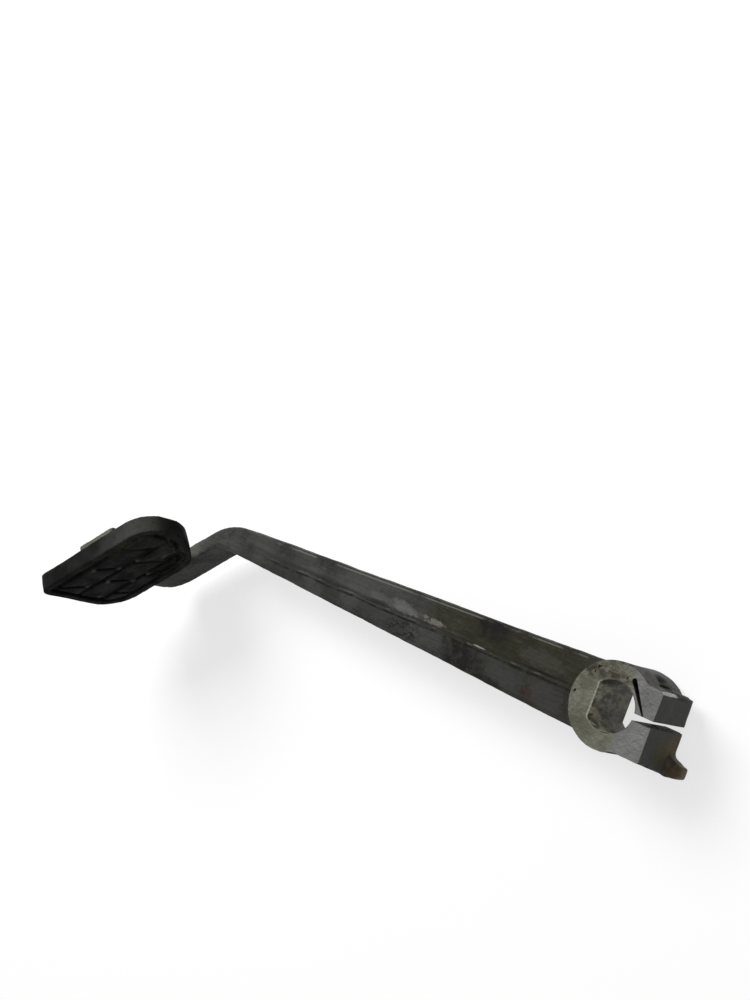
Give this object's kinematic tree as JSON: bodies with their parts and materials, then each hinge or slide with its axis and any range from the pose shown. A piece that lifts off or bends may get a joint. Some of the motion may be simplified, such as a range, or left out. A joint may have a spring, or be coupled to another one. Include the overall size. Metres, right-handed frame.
{
  "type": "foot control pedal",
  "caption": "Forged foot pedal lever with a split clamp boss, a bent stem and a moulded rubber tread pad.",
  "frame": {"origin": "on the axis of the clamp bore, at the boss's face away from the machined side", "axes": "+Z along the bore towards the machined face and the pad, +X from the bore towards the clamp jaws, the arm runs along -X"},
  "size_m": [0.3926, 0.0982, 0.1025],
  "materials": {
    "forged_steel": "bare forged skin, oily and worn, with machined clamp faces",
    "pad_rubber": "matt, scuffed and dirty"
  },
  "bodies": {
    "root": {"lever": "forged_steel", "tread_pad": "pad_rubber"}
  },
  "joints": []
}
